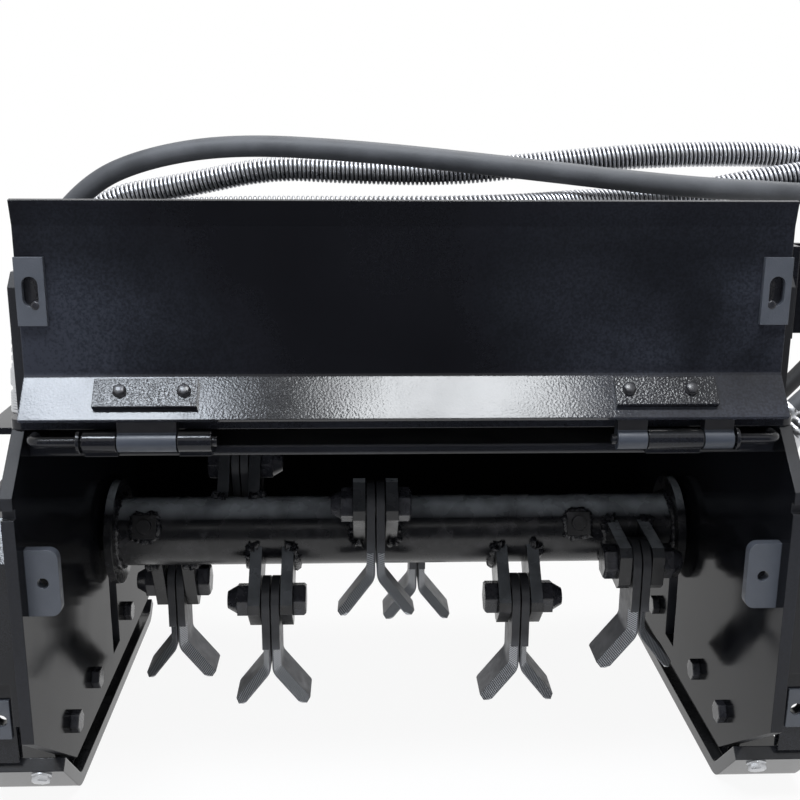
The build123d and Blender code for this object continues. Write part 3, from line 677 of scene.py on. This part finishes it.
# Welds
def bead(points, radius, seed, closed=False, lumps=0.3):
    """A weld bead: a line whose thickness wanders, with ripples and a skin of small lumps."""
    chance = random.Random(seed)
    radii = [1.0 + lumps * (2 * chance.random() - 1) for _ in points]
    mesh = mesh_of(line_curve("bead", points, radius=radius, radii=radii, closed=closed, roundness=2))
    rise = [noise.noise(v.co * 160.0) + 0.6 * noise.noise(v.co * 420.0) for v in mesh.vertices]
    skin = [v.normal * share * radius * lumps for v, share in zip(mesh.vertices, rise)]
    for vertex, move in zip(mesh.vertices, skin):
        vertex.co += move
    return mesh


def root_line(x, angle, half_length, half_angle, outward=0, steps=52):
    """A line with rounded corners on the rotor tube, round the foot of a plug.

    With outward -1 or 1 it goes round a lug's foot but for the inner face, where the flail swings.
    """
    sweep = 2 * math.pi if not outward else math.radians(205)
    line = []
    for k in range(steps):
        turn = sweep * (k / steps - 0.5)
        along, across = math.sin(turn), math.cos(turn) * (outward or 1)
        along, across = (math.copysign(abs(v) ** 0.45, v) for v in (along, across))
        line.append(on_rotor(x + half_length * across, tube_r + 0.0006, angle + half_angle * along))
    return line


lug_half_gap, lug_half_t = 0.0165, 0.0065
plug_angle, plug_half = 27, 0.0125
rotor_welds = []
for lug in lugs:
    for outward in (-1, 1):
        foot = root_line(lug.x + outward * lug_half_gap, lug.lug_angle, lug_half_t, 40, outward)
        rotor_welds.append(bead(foot, 0.0046, lug.name + str(outward), lumps=0.45))
for plug_x in (-0.256, 0.186):
    foot = root_line(plug_x, plug_angle, plug_half, 21)
    rotor_welds.append(bead(foot, 0.0034, plug_x, closed=True, lumps=0.55))
for disc_x in (-0.285, 0.285):
    ring = [on_rotor(disc_x, tube_r + 0.001, 6 * k) for k in range(60)]
    rotor_welds.append(bead(ring, 0.0032, disc_x, closed=True, lumps=0.5))
show("rotor_welds", gather("rotor_welds", rotor_welds), weld_paint, "rotor", sharp=70)


def run_between(start, end, pitch=0.004):
    start, end = Vector(start), Vector(end)
    count = max(2, round((end - start).length / pitch))
    return [start.lerp(end, k / count) for k in range(count + 1)]


roof_z, hitch_z, hitch_half = 0.430, 0.442, 0.110
hitch_welds = []
for side in (-1, 1):
    for ear_x in (0.055, 0.070):
        ear_foot = run_between((side * ear_x, -0.072, hitch_z), (side * ear_x, 0.149, hitch_z))
        hitch_welds.append(bead(ear_foot, 0.0042, ear_x * side))
    for rib_y in (0.0335, 0.0435):
        rib_foot = run_between((side * 0.071, rib_y, hitch_z), (side * 0.104, rib_y, hitch_z))
        hitch_welds.append(bead(rib_foot, 0.0036, side + rib_y))
    base_side = run_between((side * hitch_half, -0.083, roof_z), (side * hitch_half, 0.160, roof_z))
    hitch_welds.append(bead(base_side, 0.0045, side * 3))
base_front = run_between((-hitch_half, -0.084, roof_z), (hitch_half, -0.084, roof_z))
hitch_welds.append(bead(base_front, 0.0045, 8))
show("hitch_welds", gather("hitch_welds", hitch_welds), weld_paint, "housing", sharp=70)

rest_x, rest_z = -0.3105, 0.3412
rest_weld = bead(run_between((rest_x, -0.100, rest_z), (rest_x, 0.056, rest_z)), 0.0034, 5)
show("rest_weld", gather("rest_weld", [rest_weld]), weld_paint, "housing", sharp=70)


# Bolts that hold the bolted-on pieces
def many(name, heads, finish, body):
    return show(name, gather(name, [mesh for head in heads for mesh in head]), finish, body)


flange_up, flange_out = Vector((0, 0.6675, 0.7446)), Vector((0, -0.7446, 0.6675))
flange_foot = Vector((0, -0.227, 0.381))
backing_up, backing_t = 0.022, 0.005


def on_backing(x):
    return facing(flange_foot + Vector((x, 0, 0)) + flange_up * backing_up + flange_out * backing_t, flange_out)


many("backing_bolts", [
    bolt_head(0.0085, on_backing(x), 0.2 + x)
    for x in (-0.2195, -0.1708, 0.1708, 0.2195)], bolt_steel, "flap")

guard_x = 0.372
many("guard_bolts", [
    bolt_head(0.017, facing(Vector((side * guard_x, y, z)), Vector((side, 0, 0))), z)
    for side in (-1, 1) for y in (-0.150, 0.182) for z in (0.158, 0.232)], zinc, "housing")


plate_ease = 0.0006


def slot_pin(x):
    """A lock pin's round end in its slot, and the plate behind the flap that carries it."""
    pin_end = ((0.0, -0.007), (0.0036, -0.007), (0.0036, 0.0008), (0.0030, 0.0018), (0.0, 0.0018))
    plate = bmesh.new()
    bmesh.ops.create_cube(plate, size=1.0)
    bmesh.ops.scale(plate, vec=(0.024, 0.003, 0.040), verts=plate.verts)
    bmesh.ops.bevel(
        plate, geom=plate.edges, offset=plate_ease, segments=2, profile=0.5, affect="EDGES", material=-1)
    return [turned(pin_end, facing(Vector((x, -0.2035, 0.4645)), Vector((0, -1, 0))), steps=20),
            placed(plate, Matrix.Translation((x, -0.1954, 0.4675)))]


many("slot_pins", [slot_pin(x) for x in (-0.281, 0.281)], bolt_steel, "flap")


def drilled_plate(corners, hole, hole_r, back, thickness):
    """An upright plate across the head, from (x, z) corners, with one round hole."""
    outline = bpy.data.curves.new("plate", "CURVE")
    outline.dimensions = "2D"
    outline.fill_mode = "BOTH"
    turns = [k * math.pi / 16 for k in range(32)]
    rim = [(hole[0] + hole_r * math.cos(a), hole[1] - hole_r * math.sin(a)) for a in turns]
    for ring in (corners, rim):
        spline = outline.splines.new("POLY")
        spline.points.add(len(ring) - 1)
        for point, (x, z) in zip(spline.points, ring):
            point.co = (x, z, 0.0, 1.0)
        spline.use_cyclic_u = True
    outline.extrude = thickness / 2 - plate_ease
    outline.bevel_depth = plate_ease
    shape = bmesh.new()
    shape.from_mesh(mesh_of(outline))
    bmesh.ops.remove_doubles(shape, verts=shape.verts, dist=1e-6)
    return placed(shape, Matrix.Translation((0, back, 0)) @ Matrix.Rotation(math.pi / 2, 4, "X"))


skid_hole_x, skid_hole_z, skid_hole_r = 0.3475, 0.099, 0.0062


def beside_skids(inner, outer, low, high, back, thickness):
    """A drilled plate at each lower front corner; all of them share one hole."""
    corners = ((inner, low), (inner, high), (outer, high), (outer, low))
    return [drilled_plate([(side * x, z) for x, z in corners], (side * skid_hole_x, skid_hole_z), skid_hole_r,
                          back, thickness) for side in (-1, 1)]


skid_plates = beside_skids(0.33625, 0.371, 0.0568, 0.13495, -0.171, 0.010)
show("skid_plates", gather("skid_plates", skid_plates), outside_paint, "housing")
skid_tabs = beside_skids(0.3395, 0.371, 0.082, 0.118, -0.1775, 0.003)
show("skid_tabs", gather("skid_tabs", skid_tabs), grey_paint, "housing")

skid_slope = Vector((0, -0.722, -0.692))
many("skid_nose_bolts", [
    bolt_head(0.014, facing(Vector((side * 0.3195, -0.1701, 0.0408)), skid_slope), side)
    for side in (-1, 1)], zinc, "housing")

many("hitch_bolts", [
    bolt_head(0.018, facing(Vector((side * 0.094, y, hitch_z)), Vector((0, 0, 1))), y)
    for side in (-1, 1) for y in (-0.066, -0.002, 0.142)], zinc, "housing")


# Studio: a pale floor that is clear from below, white surroundings, a dark cloth that the paint mirrors,
# two lamps over the flap, a wide one behind the head and one before the mouth
def seen_directly(finish):
    """One for what the camera sees, also in a mirror or through glass, and nought for light on other things."""
    direct, mirrored, through = (
        finish.node("ShaderNodeLightPath", out=out)
        for out in ("Is Camera Ray", "Is Glossy Ray", "Is Transmission Ray"))
    return direct.maths("MAXIMUM", direct, direct.maths("MAXIMUM", mirrored, through))


floor_half, floor_drop = 14.0, 0.0006
card_left, card_right, card_near, card_far, card_lift, card_top = -0.87, 1.03, -0.86, -1.5, 0.004, 1.0


def lay_floor():
    shape = bmesh.new()
    bmesh.ops.create_grid(shape, x_segments=8, y_segments=8, size=floor_half)
    floor = bpy.data.objects.new("floor", placed(shape, Matrix.Translation((0, 0, -floor_drop))))
    pale = Finish("pale_floor")
    pale.surface(
        Base_Color=pale.mixed(pale.grain(2.0), (0.80, 0.80, 0.80), (0.83, 0.83, 0.83)),
        Roughness=0.9,
        Specular_IOR_Level=0.1,
    )
    away = pale.node("ShaderNodeVectorMath", {"operation": "LENGTH"}, {0: pale.place()}, out="Value")
    glow = pale.node("ShaderNodeEmission", (), {"Color": (1, 1, 1, 1), "Strength": 1.0}, out="Emission")
    share = seen_directly(pale) * pale.spread(away, 0.4, 1.2, 0.92, 1.0)
    both = pale.node("ShaderNodeMixShader", (), {
        0: share, 1: Value(pale, pale.shader.outputs["BSDF"]), 2: glow}, out="Shader")
    clear_from_below = pale.node("ShaderNodeMixShader", (), {
        0: pale.node("ShaderNodeNewGeometry", out="Backfacing"), 1: both,
        2: pale.node("ShaderNodeBsdfTransparent", out="BSDF")}, out="Shader")
    pale.feed(pale.tree.nodes["Material Output"].inputs["Surface"], clear_from_below)
    floor.data.materials.append(pale.material)
    scene.collection.objects.link(floor)


def light_sky():
    world = bpy.data.worlds.new("surroundings")
    world.use_nodes = True
    scene.world = world
    sky = Finish("surroundings", world.node_tree)
    background = world.node_tree.nodes["Background"]
    sky.feed(background.inputs["Color"], (1.0, 1.0, 1.0, 1.0))
    sky.feed(background.inputs["Strength"], sky.spread(seen_directly(sky), 0.0, 1.0, 0.42, 1.0))


def stand_card():
    """A dark cloth behind the camera and on the floor before it, which the gloss paint mirrors as black."""
    shape = bmesh.new()
    folds = ((card_near, card_lift), (card_far, card_lift), (card_far, card_top))
    rows = [[shape.verts.new((x, y, z)) for x in (card_left, card_right)] for y, z in folds]
    for low, high in zip(rows, rows[1:]):
        shape.faces.new((low[0], low[1], high[1], high[0]))
    card = bpy.data.objects.new("dark_card", placed(shape, Matrix.Identity(4)))
    cloth = Finish("dark_cloth")
    cloth.surface(
        Base_Color=cloth.mixed(cloth.grain(9.0), (0.012, 0.012, 0.013), (0.02, 0.02, 0.021)),
        Roughness=0.95,
        Specular_IOR_Level=0.05,
    )
    card.data.materials.append(cloth.material)
    card.visible_camera = False
    scene.collection.objects.link(card)


def hang_lamp(name, place, aim, size, power, tint=(1.0, 1.0, 1.0), mirrored=True):
    lamp = bpy.data.lights.new(name, "AREA")
    lamp.shape = "RECTANGLE"
    lamp.size, lamp.size_y = size
    lamp.energy = power
    lamp.color = tint
    holder = bpy.data.objects.new(name, lamp)
    holder.location = place
    holder.rotation_euler = (Vector(aim) - Vector(place)).to_track_quat("-Z", "Y").to_euler()
    holder.visible_camera = False
    holder.visible_glossy = mirrored
    scene.collection.objects.link(holder)


lay_floor()
stand_card()
light_sky()
hang_lamp("left_lamp", (-0.775, -0.97, 2.4), (-0.25, -0.22, 0.39), (0.65, 0.42), power=36,
          tint=(0.84, 0.91, 1.0))
hang_lamp("right_lamp", (0.22, -0.97, 2.4), (0.05, -0.22, 0.39), (0.62, 0.42), power=34,
          tint=(0.94, 0.97, 1.0))
hang_lamp("wide_lamp", (0.6, 1.2, 3.0), (0, 0, 0.3), (2.0, 2.0), power=60)
hang_lamp("mouth_lamp", (-0.1, -1.42, 0.5), (0, 0, 0.25), (1.4, 0.5), power=10, tint=(0.90, 0.95, 1.0),
          mirrored=False)
